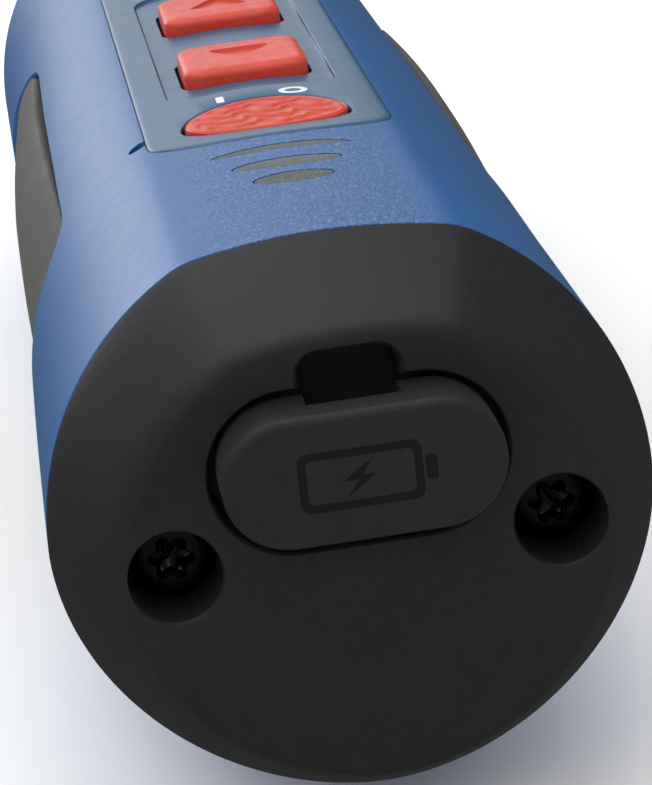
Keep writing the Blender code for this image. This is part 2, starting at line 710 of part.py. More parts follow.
def switch_parts(name, y):
    low = (-SWITCH_HALF, y - SWITCH_HALF, BOARD_TOP + SKIN)
    high = (SWITCH_HALF, y + SWITCH_HALF, SWITCH_TOP)
    housing = add_object(f"switch_body_{name}", block(low, high), "dark")
    radius, floor = SWITCH_WELL
    combine(housing, add_cutter(f"cut_switch_{name}", post(((radius, floor), (radius, FAR)), 0.0, y)))
    top = DECK_TOP + KEY_FLOOR - SKIN
    plunger = post(((PLUNGER_R, PLUNGER_FOOT), (PLUNGER_R, top)), 0.0, y)
    add_object(f"switch_plunger_{name}", plunger, "white", (0.0, y, PLUNGER_FOOT))


def make_keys():
    for name, y in KEYS:

        def outline(inset, y=y):
            width, length = (size - 2 * inset for size in KEY_SIZE)
            return rounded(width, length, KEY_CORNER - inset / 2, (0.0, y))

        add_object(name, key_body(outline, KEY_PROUD), "red", (0.0, y, DECK_TOP))
        switch_parts(name.removeprefix("key_"), y)
    power = key_body(lambda inset: power_outline(-inset), POWER_PROUD)
    add_object("key_power", power, "red", (0.0, POWER_Y, DECK_TOP))
    switch_parts("power", POWER_Y)


def make_sounder():
    under, over = (DECK_TOP + level for level in SOUNDER_SPAN)
    low, high = SOUNDER_PLATE
    plate = add_object("sounder_insert", block((*low, under), (*high, over)), "grey")
    tops = []
    for i, slot in enumerate(SLOTS):
        bm = deck_plate(lens(*slot, grow=-SKIN), SOUNDER_SPAN[1] - GAP, -SKIN)
        tops.append(add_cutter(f"sounder_rib_{i + 1}", bm))
    combine(plate, *tops, operation="UNION")
    x, y, radius, top = BUZZER
    profile = ((radius, BOARD_TOP + SKIN), (radius, top - 0.6), (radius - 0.6, top))
    buzzer = add_object("buzzer", post(profile, x, y, 24), "dark")
    port = post(((BUZZER_PORT_R, BUZZER_FLOOR), (BUZZER_PORT_R, FAR)), x, y, 16)
    combine(buzzer, add_cutter("cut_buzzer", port))


def make_display():
    add_object("lcd_window", deck_plate(between(*WINDOW), *WINDOW_SPAN), "glass")
    low, high, depth = LCD_MODULE
    module = block((*low, BOARD_TOP + SKIN), (*high, DECK_TOP - depth))
    add_object("lcd_module", module, "display")


def make_main_board():
    tail, shoulder, end = MAIN_BOARD
    right = [tail, (tail[0], shoulder[1]), shoulder, end]
    outline = right + [(-x, y) for x, y in reversed(right)]
    add_object("main_board", prism(outline, BOARD_TOP - BOARD_THICK, BOARD_TOP), "board")
    low, high, top = CHIP
    add_object("controller_chip", block((*low, BOARD_TOP + SKIN), (*high, BOARD_TOP + top)), "dark")


def make_battery():
    first, last = CELL_ENDS
    shoulder = last - CELL_CAP
    profile = ((CELL_R - 0.5, first), (CELL_R, first + 0.5), (CELL_R, shoulder - 0.6))
    profile += ((CELL_R - 0.6, shoulder), (CELL_CAP_R, shoulder), (CELL_CAP_R, last))
    add_object("battery_cell", turned(profile, (0.0, CELL_Z)), "cell")
    inner, steps = CELL_R + GAP, 14
    outer = inner + CRADLE_WALL
    arc = [pi + pi * i / steps for i in range(steps + 1)]
    outline = [(outer * cos(a), CELL_Z + outer * sin(a)) for a in arc]
    outline += [(inner * cos(a), CELL_Z + inner * sin(a)) for a in reversed(arc)]
    add_object("battery_cradle", upright(outline, first - 1.5, last + 1.5), "dark")
    for name, y in (("rear", first - GAP - TAB_THICK), ("front", last + GAP)):
        tab = block((-TAB_HALF, y, CELL_Z - TAB_HALF), (TAB_HALF, y + TAB_THICK, CELL_Z + TAB_TOP))
        add_object(f"battery_tab_{name}", tab, "bright")


def make_shell_screws():
    for name, y, x in SHELL_SCREWS:
        for side, sign in (("left", -1), ("right", 1)):
            head = SHELL_SCREW_SEAT - GAP
            profile = ((2.1, head - 2.0), (SHELL_SCREW_HEAD_R, head - 1.5), (SHELL_SCREW_HEAD_R, head))
            profile += ((SHELL_SCREW_SHANK_R, head), (SHELL_SCREW_SHANK_R, SHELL_SCREW_TOP - 0.8))
            profile += ((0.8, SHELL_SCREW_TOP),)
            screw = add_object(f"shell_screw_{name}_{side}", post(profile, sign * x, y), "steel")
            for i, half in enumerate((DRIVE_HALF, DRIVE_HALF[::-1])):
                low = (sign * x - half[0], y - half[1], head - 4.0)
                high = (sign * x + half[0], y + half[1], head - 0.9)
                combine(screw, add_cutter(f"cut_{screw.name}_{i}", block(low, high)))


# ---------------------------------------------------------------- nose


def make_nose():
    start = SHELL_END + SKIN
    inside, outside = SLEEVE
    sleeve = ((SLEEVE_R, inside), (SLEEVE_R, start), (RING_R, start), (RING_R, RING_END))
    sleeve += ((SLEEVE_R, RING_END), (SLEEVE_R, outside), (SLEEVE_BORE_R, outside), (SLEEVE_BORE_R, inside))
    add_object("light_ring", turned(sleeve, hollow=True), "ring")

    first = RING_END + SKIN
    straight = first + NOSE_STRAIGHT
    outer = [(NOSE_R, first), (NOSE_R, straight)]
    late, blunt = NOSE_BEND
    for i in range(1, NOSE_STEPS + 1):
        share = sin(pi / 2 * i / NOSE_STEPS)
        radius = max(NOSE_R * (1 - share**late) ** blunt, 0.6)
        outer.append((radius, straight + (NOSE_END - straight) * share))
    nose = add_object("nose_cap", turned(outer), "black")
    step, end = NOSE_HOLLOW
    bore = ((SLEEVE_R + GAP, first - 4), (SLEEVE_R + GAP, step), (NOSE_HOLLOW_R, step), (NOSE_HOLLOW_R, end))
    combine(nose, add_cutter("cut_nose", turned(bore)))

    add_object("sensor_antenna", turned(ANTENNA, steps=20, hollow=True), "copper")
    add_object("sensor_board", block(*SENSOR_BOARD), "board")
    for name, sign in (("red", 1), ("green", -1)):
        profile = [(radius, sign * height) for radius, height in LED]
        add_object(f"signal_led_{name}", post(profile, 0.0, LED_Y), "ring" if sign > 0 else "white")


# ---------------------------------------------------------------- assembly

KEYS = (("key_down", KEY_DOWN_Y), ("key_up", KEY_DOWN_Y + KEY_PITCH))

clear_scene()
MATERIALS = make_materials()
TESTER = bpy.data.objects.new("tester", None)
TESTER.matrix_world = Matrix.Translation((0.0, -BODY_MIDDLE * MM, -REST_Z * MM))
bpy.context.scene.collection.objects.link(TESTER)

make_shells()
make_fascia()
make_rubber()
make_end_cap()
make_port_cover()
make_charging()
make_keys()
make_sounder()
make_display()
make_main_board()
make_battery()
make_shell_screws()
make_nose()
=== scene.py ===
"""The looks of the non contact voltage tester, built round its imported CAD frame."""

import json
from math import asin, cos, pi, radians, sin, sqrt

import bmesh
import bpy
import numpy as np
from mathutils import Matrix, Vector


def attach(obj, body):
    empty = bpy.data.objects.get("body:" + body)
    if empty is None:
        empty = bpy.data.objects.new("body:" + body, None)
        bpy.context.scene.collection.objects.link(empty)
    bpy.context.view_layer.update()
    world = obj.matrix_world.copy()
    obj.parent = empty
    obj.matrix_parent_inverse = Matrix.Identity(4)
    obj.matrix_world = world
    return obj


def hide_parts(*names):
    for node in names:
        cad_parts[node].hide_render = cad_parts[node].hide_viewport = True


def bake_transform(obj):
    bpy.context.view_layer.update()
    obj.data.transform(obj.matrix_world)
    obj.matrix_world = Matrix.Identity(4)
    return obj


# ---------------------------------------------------------------- dimensions, in millimetres
# The design frame: x to the right, y from the end cap's face to the nose, z up from the body's axis.

MM = 0.001
MIDDLE = 109.0
REST = 21.9

SEAM = 9.4
SHELL_END = 178.0
DECK_TOP = 20.15
WALL = 3.0
DECK_WALL = 2.4
# y, half width, deck height, deck half width, deck radius, depth, fullness of the shoulders
STATIONS = (
    (9.4, 21.1, 20.15, 9.5, 44.0, 20.3, 0.0),
    (30.0, 20.9, 20.15, 9.5, 44.0, 20.3, 0.0),
    (45.0, 20.6, 20.15, 9.5, 44.0, 20.2, 0.2),
    (60.0, 20.1, 20.15, 9.5, 44.0, 20.1, 0.5),
    (80.0, 19.6, 20.15, 9.5, 44.0, 20.0, 0.7),
    (110.0, 19.4, 20.15, 9.5, 44.0, 20.0, 0.3),
    (136.0, 19.4, 20.15, 9.5, 44.0, 20.0, 0.1),
    (147.0, 19.4, 20.0, 9.3, 42.0, 19.8, 0.3),
    (155.0, 18.6, 19.0, 8.6, 34.0, 18.8, 0.2),
    (164.0, 16.4, 16.6, 7.0, 22.0, 16.5, 0.0),
    (172.0, 14.1, 14.2, 5.4, 15.0, 14.1, 0.0),
    (178.0, 13.0, 13.0, 5.0, 13.0, 13.0, 0.0),
)
UPPER_POINTS = 161
LOWER_POINTS = 121
BELLY = 2 / 1.9  # the lower section is a little narrower than an ellipse

KEY_SIZE = (10.1, 10.4)
KEYS = (("key_down", 63.3, -1), ("key_up", 84.5, 1))
KEY_PROUD = 1.1
KEY_FLOOR = -4.2
KEY_CORNER = 1.6
KEY_CAP_CORNER = 1.7
KEY_FLANGE = 0.8
KEY_FLANGE_THICK = 1.1
POWER_Y = 44.0
POWER_HALF = (6.3, 6.0, 3.9)
POWER_PROUD = 0.15
FASCIA_TOP = 0.12
FASCIA_ENDS = (37.7, 141.0)
FASCIA_HALF = 9.4
FASCIA_BOW = 4.8
RECESS = (13.6, 54.0, 96.5, 2.2)
RECESS_FLOOR = -0.2
WINDOW = (15.2, 104.0, 134.0, 1.6)
SLOTS = ((33.8, 5.3, 1.1, 0.7), (29.5, 4.1, 1.1, 1.7), (24.8, 3.0, 1.4, 1.8))

GRIP_CORNERS = ((44.5, 12.8), (108.0, 12.0), (125.0, 0.0), (118.0, -13.0), (70.0, -14.0), (43.0, -3.0))
GRIP_CROWN = 1.25
GRIP_RADIUS = 20.0

GAP = 0.3  # between neighbouring pieces
FAR = 30.0  # past the body, for the ends of cutters
NOTCH = (-9.95, 45.2)
REST_PAD = (17.2, 90.0, 5.0)  # width, length, corner radius
REST_PAD_MIDDLE = (0.0, 89.0)
REST_BED = -19.0
REST_Z = -21.9
SHELL_SCREWS = ((31.0, 12.4), (140.0, 11.8))  # y, x
BOSS_R = 4.0
# radius and z of the hole that a shell screw goes into
SCREW_WELL = ((3.15, -FAR), (3.15, -20.0), (2.95, -19.4), (2.95, -12.0), (1.7, -12.0), (1.7, 2.0))

PORT_Z = 6.55
PORT_HALF = (10.05, 5.6)
PORT_DEPTH = 4.2
COVER_HALF = (9.45, 4.5)
COVER_Z = 7.0
COVER_PROUD = 4.0
CAP_SCREWS = (("left", -13.0), ("right", 13.0))
CAP_SCREW_Z = 0.5
COUNTERBORE_R = 3.15
COUNTERBORE_DEPTH = 5.9
CAP_R = 21.0
CAP_END = 9.2
CAP_HOLLOW = ((-8.4, 5.8, -14.0), (8.4, 20.0, 13.0))
# radius and y of the spigot inside the shells, with its gasket groove
SPIGOT = ((16.8, 9.2), (16.8, 10.6), (15.9, 10.6), (15.9, 12.4), (16.8, 12.4), (16.8, 14.8))
NAIL_POCKET = (6.4, 6.0, 1.3)
NAIL_POCKET_Z = 11.25
MOUTH = (9.8, 4.0, 1.5)
MOUTH_Z = 6.7
# radius and y of a cap screw, from its tip to its crowned head
CAP_SCREW = ((1.45, 21.0), (1.45, 5.6), (2.8, 5.6), (2.8, 4.5),
             (2.72, 4.2), (2.5, 3.95), (2.15, 3.84), (1.75, 3.8))
STRAP_Z = 2.6
HINGE_Y = -1.2

RING_R = 12.8
RING_ENDS = (178.2, 184.0)
SLEEVE_R = 9.7
SLEEVE_BORE_R = 8.4
SLEEVE_ENDS = (172.0, 190.0)
NOSE_R = 12.6
NOSE_ENDS = (184.2, 222.0)
NOSE_STRAIGHT = 3.2
NOSE_BEND = (1.6, 0.6)

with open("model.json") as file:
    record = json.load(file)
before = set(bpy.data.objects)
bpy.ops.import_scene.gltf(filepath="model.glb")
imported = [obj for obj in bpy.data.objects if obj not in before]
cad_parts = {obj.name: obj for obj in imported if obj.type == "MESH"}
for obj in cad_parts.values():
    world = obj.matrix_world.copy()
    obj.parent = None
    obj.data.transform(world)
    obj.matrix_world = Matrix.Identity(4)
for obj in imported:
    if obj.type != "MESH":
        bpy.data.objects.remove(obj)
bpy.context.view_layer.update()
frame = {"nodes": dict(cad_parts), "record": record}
SCENE = bpy.context.scene


# ---------------------------------------------------------------- meshes


def bmesh_from(verts, faces):
    bm = bmesh.new()
    made = [bm.verts.new(v) for v in verts]
    for face in faces:
        bm.faces.new([made[i] for i in face])
    return bm


def loft(rings, closed=False):
    """A solid through equal rings of points; closed joins the last ring to the first instead of capping."""
    count = len(rings[0])
    verts = [p for ring in rings for p in ring]
    faces = []
    rows = len(rings)
    for r in range(rows if closed else rows - 1):
        a, b = r * count, ((r + 1) % rows) * count
        for i in range(count):
            j = (i + 1) % count
            faces.append((a + i, a + j, b + j, b + i))
    if not closed:
        faces.append(tuple(reversed(range(count))))
        faces.append(tuple(range((rows - 1) * count, rows * count)))
    bm = bmesh_from(verts, faces)
    bmesh.ops.recalc_face_normals(bm, faces=bm.faces)
    return bm


def turned(profile, centre=(0.0, 0.0), steps=96, closed=False):
    """A piece turned about a line along y: profile lists (radius, y)."""
    angles = [2 * pi * i / steps for i in range(steps)]
    rings = [[(centre[0] + r * cos(a), y, centre[1] + r * sin(a)) for a in angles] for r, y in profile]
    return loft(rings, closed)


def post(profile, x, y, steps=48):
    """An upright turned piece: profile lists (radius, z)."""
    angles = [2 * pi * i / steps for i in range(steps)]
    return loft([[(x + r * cos(a), y + r * sin(a), z) for a in angles] for r, z in profile])


def block(low, high):
    corners = ((low[0], low[1]), (high[0], low[1]), (high[0], high[1]), (low[0], high[1]))
    return loft([[(x, y, z) for x, y in corners] for z in (low[2], high[2])])


def outward(bm):
    """Turns a closed mesh's faces to look out, whatever its shape."""
    bmesh.ops.recalc_face_normals(bm, faces=bm.faces)
    if bm.calc_volume(signed=True) < 0:
        bmesh.ops.reverse_faces(bm, faces=bm.faces)


def solid(bm):
    outward(bm)
    mesh = bpy.data.meshes.new("working")
    bm.to_mesh(mesh)
    bm.free()
    obj = bpy.data.objects.new("working", mesh)
    SCENE.collection.objects.link(obj)
    return obj


def carve(bm, cutters, operation="DIFFERENCE"):
    """Cuts closed pieces from a closed piece, or joins them to it."""
    base = solid(bm)
    others = [solid(cutter) for cutter in cutters]
    group = bpy.data.collections.new("cutters")
    for other in others:
        group.objects.link(other)
    modifier = base.modifiers.new("carve", "BOOLEAN")
    modifier.operation = operation
    modifier.operand_type = "COLLECTION"
    modifier.collection = group
    modifier.solver = "EXACT"
    graph = bpy.context.evaluated_depsgraph_get()
    evaluated = base.evaluated_get(graph)
    out = bmesh.new()
    out.from_mesh(evaluated.to_mesh())
    evaluated.to_mesh_clear()
    for obj in [base, *others]:
        mesh = obj.data
        bpy.data.objects.remove(obj)
        bpy.data.meshes.remove(mesh)
    bpy.data.collections.remove(group)
    return out


def piece(name, bm, material, body="housing", stands_for=(), angle=32.0):
    """Turns a mesh drawn in the design frame into a piece of the model."""
    bmesh.ops.remove_doubles(bm, verts=bm.verts, dist=1e-4)
    outward(bm)
    bmesh.ops.translate(bm, verts=bm.verts, vec=(0.0, -MIDDLE, REST))
    bmesh.ops.scale(bm, verts=bm.verts, vec=(MM, MM, MM))
    mesh = bpy.data.meshes.new(name)
    bm.to_mesh(mesh)
    bm.free()
    mesh.shade_smooth()
    mesh.set_sharp_from_angle(angle=radians(angle))
    mesh.materials.append(material)
    obj = bpy.data.objects.new(name, mesh)
    SCENE.collection.objects.link(obj)
    if body:
        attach(obj, body)
    if stands_for:
        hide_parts(*stands_for)
    return obj


# ---------------------------------------------------------------- outlines


def resampled(points, count, closed=False):
    """The same line as evenly spaced points."""
    line = np.array(points + [points[0]] if closed else points, float)
    lengths = np.concatenate([[0.0], np.cumsum(np.linalg.norm(np.diff(line, axis=0), axis=1))])
    at = np.linspace(0.0, lengths[-1], count + 1 if closed else count)
    out = np.stack([np.interp(at, lengths, line[:, k]) for k in range(line.shape[1])], 1)
    return out[:-1] if closed else out


def smoothed(line, rounds, closed=False):
    """Rounds off the corners of an evenly spaced line."""
    line = np.array(line, float)
    for _ in range(rounds):
        if closed:
            line = (np.roll(line, 1, axis=0) + 2 * line + np.roll(line, -1, axis=0)) / 4
        else:
            line[1:-1] = (line[:-2] + 2 * line[1:-1] + line[2:]) / 4
    return line


def grown(points, amount):
    """An outline moved out along its own normals. The outline runs anticlockwise."""
    if amount == 0:
        return [tuple(p) for p in points]
    line = np.array(points, float)
    ahead, behind = np.roll(line, -1, axis=0), np.roll(line, 1, axis=0)
    along = ahead - behind
    along /= np.linalg.norm(along, axis=1)[:, None]
    normal = np.stack([along[:, 1], -along[:, 0]], 1)
    return [tuple(p) for p in line + normal * amount]


def rounded(width, height, corner, centre=(0.0, 0.0), count=96):
    points = []
    for quarter, (sx, sy) in enumerate(((1, 1), (-1, 1), (-1, -1), (1, -1))):
        mid = (centre[0] + sx * (width / 2 - corner), centre[1] + sy * (height / 2 - corner))
        for i in range(13):
            a = (quarter + i / 12) * pi / 2
            points.append((mid[0] + corner * cos(a), mid[1] + corner * sin(a)))
    return [tuple(p) for p in resampled(points, count, closed=True)]


def between(width, first, last, corner, count=140):
    return rounded(width, last - first, corner, (0.0, (first + last) / 2), count)


def power_outline(count=120):
    half, ahead, behind = POWER_HALF
    points = []
    for i in range(count):
        a = 2 * pi * i / count
        reach = ahead if sin(a) > 0 else behind
        points.append((half * cos(a), POWER_Y + reach * sin(a)))
    return points


def lens(y, half, ahead, behind, steps=24):
    points = []
    for bulge in (ahead, -behind):
        for i in range(steps):
            x = cos(pi * i / steps) * half
            points.append((x if bulge > 0 else -x, y + bulge * sin(pi * i / steps)))
    return [tuple(p) for p in smoothed(points, 1, closed=True)]


def fascia_outline(steps=40):
    (first, last), bow = FASCIA_ENDS, FASCIA_BOW
    points = []
    for i in range(steps + 1):
        a = pi * i / steps
        points.append((-FASCIA_HALF * cos(a), first + bow - bow * sin(a)))
    for i in range(steps + 1):
        a = pi * i / steps
        points.append((FASCIA_HALF * cos(a), last - bow + bow * sin(a)))
    return [tuple(p) for p in smoothed(resampled(points, 420, closed=True), 3, closed=True)]


def port_outline(half, z=PORT_Z, count=112):
    """An upright slot in x, z whose ends are half circles."""
    return rounded(2 * half[0], 2 * half[1], half[1] - 0.01, (0.0, z), count)


# ---------------------------------------------------------------- body sections


ROWS = np.array(STATIONS)


def bends(x, values):
    """Slopes at the stations for a line that doesn't overshoot between them."""
    steps = np.diff(values) / np.diff(x)
    out = np.zeros(len(values))
    out[0], out[-1] = steps[0], steps[-1]
    for i in range(1, len(values) - 1):
        if steps[i - 1] * steps[i] > 0:
            out[i] = 2 * steps[i - 1] * steps[i] / (steps[i - 1] + steps[i])
    return out


BENDS = np.stack([bends(ROWS[:, 0], ROWS[:, k]) for k in range(1, 7)], 1)


def station_at(y):
    """The section values at any y, on a smooth line through the stations."""
    y = min(max(y, ROWS[0, 0]), ROWS[-1, 0])
    i = min(max(int(np.searchsorted(ROWS[:, 0], y)) - 1, 0), len(ROWS) - 2)
    span = ROWS[i + 1, 0] - ROWS[i, 0]
    t = (y - ROWS[i, 0]) / span
    a, b = ROWS[i, 1:], ROWS[i + 1, 1:]
    return (
        (2 * t**3 - 3 * t**2 + 1) * a
        + (t**3 - 2 * t**2 + t) * span * BENDS[i]
        + (3 * t**2 - 2 * t**3) * b
        + (t**3 - t**2) * span * BENDS[i + 1]
    )


def deck_z(x, y):
    values = station_at(y)
    return values[1] - x * x / (2 * values[3])


def upper_arc(values, base=0.1, softness=5):
    """The upper half section as (x, z), from the right hand split line over the deck to the left."""
    half, top, deck_half, curve, _, shoulder = values
    edge = top - deck_half**2 / (2 * curve)
    height = edge / sqrt(1 - (deck_half / half) ** 2)
    start = asin(edge / height)
    side = []
    for i in range(40):
        a = start * i / 40
        side.append((half * cos(a) + shoulder * sin(pi * i / 40), height * sin(a)))
    across = [deck_half * (1 - i / 12) for i in range(25)]
    deck = [(x, top - x**2 / (2 * curve)) for x in across]
    line = side + deck + [(-x, z) for x, z in reversed(side)]
    out = smoothed(resampled(line, UPPER_POINTS), softness)
    out[:, 1] = np.maximum(out[:, 1], base)
    return [tuple(p) for p in out]


def lower_arc(values, base=0.1):
    half, _, _, _, depth, _ = values
    points = []
    for i in range(LOWER_POINTS):
        a = pi * i / (LOWER_POINTS - 1)
        c, s = cos(a), abs(sin(a))
        x = -half * abs(c) ** BELLY * (1 if c > 0 else -1)
        points.append((x, min(-depth * s**BELLY, -base)))
    return points


def shrunk(outline, amount):
    """A section drawn in towards the axis by an amount."""
    out = []
    for x, z in outline:
        r = sqrt(x * x + z * z)
        out.append((x * (1 - amount / r), z * (1 - amount / r)))
    return out


def side_point(along, around, out, side):
    """A point of the body's side skin: along y, around above the split line, out from the skin."""
    half, top, deck_half, curve, depth, shoulder = station_at(along)
    edge = top - deck_half**2 / (2 * curve)
    height = edge / sqrt(1 - (deck_half / half) ** 2)
    a = around / GRIP_RADIUS
    if a > 0:
        wide = half + shoulder * sin(pi * a / asin(edge / height)) / max(cos(a), 0.5)
        point = Vector((side * wide * cos(a), 0.0, height * sin(a)))
    else:
        point = Vector((side * half * cos(a) ** BELLY, 0.0, -depth * (-sin(a)) ** BELLY))
    point += point.normalized() * out
    return (point.x, along, point.z)


def grip_outline(count=150):
    points = []
    for i, corner in enumerate(GRIP_CORNERS):
        here = Vector(corner)
        before = (Vector(GRIP_CORNERS[i - 1]) - here).normalized() * 5.0
        after = (Vector(GRIP_CORNERS[(i + 1) % 6]) - here).normalized() * 5.0
        for k in range(9):
            t = k / 8
            points.append(tuple(here + (1 - t) ** 2 * before + t * t * after))
    line = resampled(points, count, closed=True)
    return [tuple(p) for p in line[::-1]]


def grip_patch(side, levels, crown=0.0):
    """A patch of the side skin: levels lists (growth of the outline, depth out from the skin)."""
    base = grip_outline()
    bm = loft([[(x, y, out) for x, y in grown(base, grow)] for grow, out in levels])
    cut(bm, 1, 1.6, 20.0)
    cut(bm, 0, 5.0, 150.0)
    first, last = GRIP_CORNERS[0][0], GRIP_CORNERS[2][0]
    top = max(out for _, out in levels)
    for vert in bm.verts:
        along, around, out = vert.co
        if crown and out > top - 0.5:
            out += crown * sin(pi * min(max((along - first) / (last - first), 0.0), 1.0))
        vert.co = side_point(along, around, out, side)
    bmesh.ops.recalc_face_normals(bm, faces=bm.faces)
    return bm


def cut(bm, axis, spacing, reach):
    """Adds edge loops square to an axis, so that a flat mesh can follow the skin."""
    normal = Vector([1.0 if i == axis else 0.0 for i in range(3)])
    low = min(v.co[axis] for v in bm.verts)
    high = max(v.co[axis] for v in bm.verts)
    for i in range(-int(reach / spacing), int(reach / spacing) + 1):
        if low < i * spacing < high:
            geometry = bm.verts[:] + bm.edges[:] + bm.faces[:]
            bmesh.ops.bisect_plane(bm, geom=geometry, plane_co=normal * spacing * i, plane_no=normal)


def plate(outline, levels, spacing=1.0):
    """A plate that follows the deck: levels lists (growth of the outline, height above the deck)."""
    bm = loft([[(x, y, level) for x, y in grown(outline, grow)] for grow, level in levels])
    cut(bm, 0, spacing, 12.0)
    cut(bm, 1, 7.0, 160.0)
    for vert in bm.verts:
        vert.co.z += deck_z(vert.co.x, vert.co.y)
    bmesh.ops.recalc_face_normals(bm, faces=bm.faces)
    return bm


# ---------------------------------------------------------------- materials


def nodes_of(name, colour, roughness, metallic=0.0):
    made = bpy.data.materials.new(name)
    made.use_nodes = True
    tree = made.node_tree
    shader = tree.nodes["Principled BSDF"]
    shader.inputs["Base Color"].default_value = (*colour, 1.0)
    shader.inputs["Roughness"].default_value = roughness
    shader.inputs["Metallic"].default_value = metallic
    return made, tree, shader


def noise_node(tree, where, scale, detail=3.0, roughness=0.5):
    node = tree.nodes.new("ShaderNodeTexNoise")
    node.inputs["Scale"].default_value = scale
    node.inputs["Detail"].default_value = detail
    node.inputs["Roughness"].default_value = roughness
    tree.links.new(where, node.inputs["Vector"])
    return node.outputs["Fac"]


def ranged(tree, value, low, high, out_low, out_high):
    node = tree.nodes.new("ShaderNodeMapRange")
    node.interpolation_type = "SMOOTHSTEP"
    for name, number in (("From Min", low), ("From Max", high), ("To Min", out_low), ("To Max", out_high)):
        node.inputs[name].default_value = number
    tree.links.new(value, node.inputs["Value"])
    return node.outputs["Result"]


def mixed(tree, factor, first, second):
    """A colour between two, by a factor. Each is a colour or another node's output."""
    node = tree.nodes.new("ShaderNodeMix")
    node.data_type = "RGBA"
    tree.links.new(factor, node.inputs["Factor"])
    for index, value in ((6, first), (7, second)):
        if isinstance(value, tuple):
            node.inputs[index].default_value = (*value, 1.0)
        else:
            tree.links.new(value, node.inputs[index])
    return node.outputs[2]


def maths(tree, operation, first, second):
    node = tree.nodes.new("ShaderNodeMath")
    node.operation = operation
    for index, value in enumerate((first, second)):
        if isinstance(value, float):
            node.inputs[index].default_value = value
        else:
            tree.links.new(value, node.inputs[index])
    return node.outputs[0]


def bumped(tree, height, strength, distance, after=None):
    node = tree.nodes.new("ShaderNodeBump")
    if isinstance(strength, float):
        node.inputs["Strength"].default_value = strength
    else:
        tree.links.new(strength, node.inputs["Strength"])
    node.inputs["Distance"].default_value = distance
    tree.links.new(height, node.inputs["Height"])
    if after is not None:
        tree.links.new(after, node.inputs["Normal"])
    return node.outputs["Normal"]


def scaled(colour, factor):
    return tuple(min(1.0, c * factor) for c in colour)


def surface(name, colour, roughness, grain=2600.0, depth=0.3, tone=0.12, spread=0.05, metallic=0.0,
            specks=0.0, dust=(0.45, 0.44, 0.40), deck=False, **constants):
    """A moulded or machined surface: grain, uneven tone and gloss, rubbed patches and a few specks; with
    deck, the deck's textured part also gets a painted highlight on its grain's raised points and painted
    shade in its low points.
    """
    made, tree, shader = nodes_of(name, colour, roughness, metallic)
    where = tree.nodes.new("ShaderNodeTexCoord").outputs["Object"]
    cloud = noise_node(tree, where, 70.0, 3.0)
    fine = noise_node(tree, where, grain, 2.0)
    middle = noise_node(tree, where, 900.0, 3.0)
    dark, pale = scaled(colour, 1 - tone), scaled(colour, 1 + tone)
    base = mixed(tree, ranged(tree, cloud, 0.3, 0.7, 0.0, 1.0), dark, pale)
    mottle = ranged(tree, middle, 0.35, 0.7, 0.0, 0.6)
    base = mixed(tree, mottle, base, pale)
    base = mixed(tree, ranged(tree, fine, 0.35, 0.65, 0.0, 0.35), base, scaled(colour, 1 - 1.5 * tone))
    if specks:
        spots = noise_node(tree, where, 2200.0, 1.0)
        base = mixed(tree, ranged(tree, spots, 0.74, 0.80, 0.0, specks), base, dust)
    rubbed = noise_node(tree, where, 130.0, 5.0, 0.62)
    gloss = maths(tree, "ADD", ranged(tree, middle, 0.3, 0.7, roughness - spread, roughness + spread),
                  ranged(tree, rubbed, 0.55, 0.75, 0.0, -spread))
    normal = bumped(tree, fine, depth, 0.00005)
    if deck:
        split = tree.nodes.new("ShaderNodeSeparateXYZ")
        tree.links.new(where, split.inputs[0])
        near = ranged(tree, split.outputs["Y"], DECK_GRAIN_END - 0.002, DECK_GRAIN_END, 1.0, 0.0)
        high = ranged(tree, split.outputs["Z"], DECK_GRAIN_LOW, DECK_GRAIN_LOW + 0.0008, 0.0, 1.0)
        mask = maths(tree, "MULTIPLY", near, high)
        stretch = tree.nodes.new("ShaderNodeMapping")
        stretch.inputs["Scale"].default_value = (1.0, 0.5, 1.0)
        tree.links.new(where, stretch.inputs["Vector"])
        spark = noise_node(tree, stretch.outputs["Vector"], 3600.0, 3.0, 0.7)
        normal = bumped(tree, spark, maths(tree, "MULTIPLY", mask, 0.8), 0.00012, normal)
        # Painted light on the deck's textured part: the colour follows the grain's bump height, paler
        # grey-blue on its raised points as a painted highlight and darker in its low points as painted shade.
        painted_grain_highlight = maths(tree, "MULTIPLY", mask, ranged(tree, spark, 0.52, 0.66, 0.0, 0.45))
        base = mixed(tree, painted_grain_highlight, base, (0.20, 0.30, 0.40))
        painted_grain_shade = maths(tree, "MULTIPLY", mask, ranged(tree, spark, 0.46, 0.34, 0.0, 0.6))
        base = mixed(tree, painted_grain_shade, base, scaled(colour, 0.5))
    tree.links.new(base, shader.inputs["Base Color"])
    tree.links.new(gloss, shader.inputs["Roughness"])
    tree.links.new(normal, shader.inputs["Normal"])
    for key, value in constants.items():
        shader.inputs[key.replace("_", " ")].default_value = value
    return made


DECK_GRAIN_END = (45.5 - MIDDLE) * MM
DECK_GRAIN_LOW = (DECK_TOP - 1.05 + REST) * MM
BLUE = surface("blue_plastic", (0.010, 0.100, 0.295), 0.42, 3000.0, 0.10, 0.05, 0.02, specks=0.2, deck=True,
               dust=(0.20, 0.32, 0.48), Specular_IOR_Level=0.34)
FASCIA_BLUE = surface("fascia_plastic", (0.028, 0.100, 0.195), 0.38, 3600.0, 0.10, 0.04, 0.02, specks=0.15,
                      dust=(0.25, 0.36, 0.50))
BLACK = surface("cap_plastic", (0.0145, 0.0155, 0.0160), 0.50, 2600.0, 0.30, 0.16, 0.015, specks=0.10,
                dust=(0.07, 0.07, 0.07), Specular_IOR_Level=0.4)
COVER_BLACK = surface("cover_rubber", (0.0140, 0.0155, 0.0172), 0.55, 3000.0, 0.25, 0.12, 0.02, specks=0.08,
                      dust=(0.06, 0.06, 0.07), Specular_IOR_Level=0.4, Sheen_Weight=0.03)
MARK_BLACK = surface("cover_mark", (0.0060, 0.0066, 0.0074), 0.45, 2800.0, 0.25, 0.1, Specular_IOR_Level=0.3)
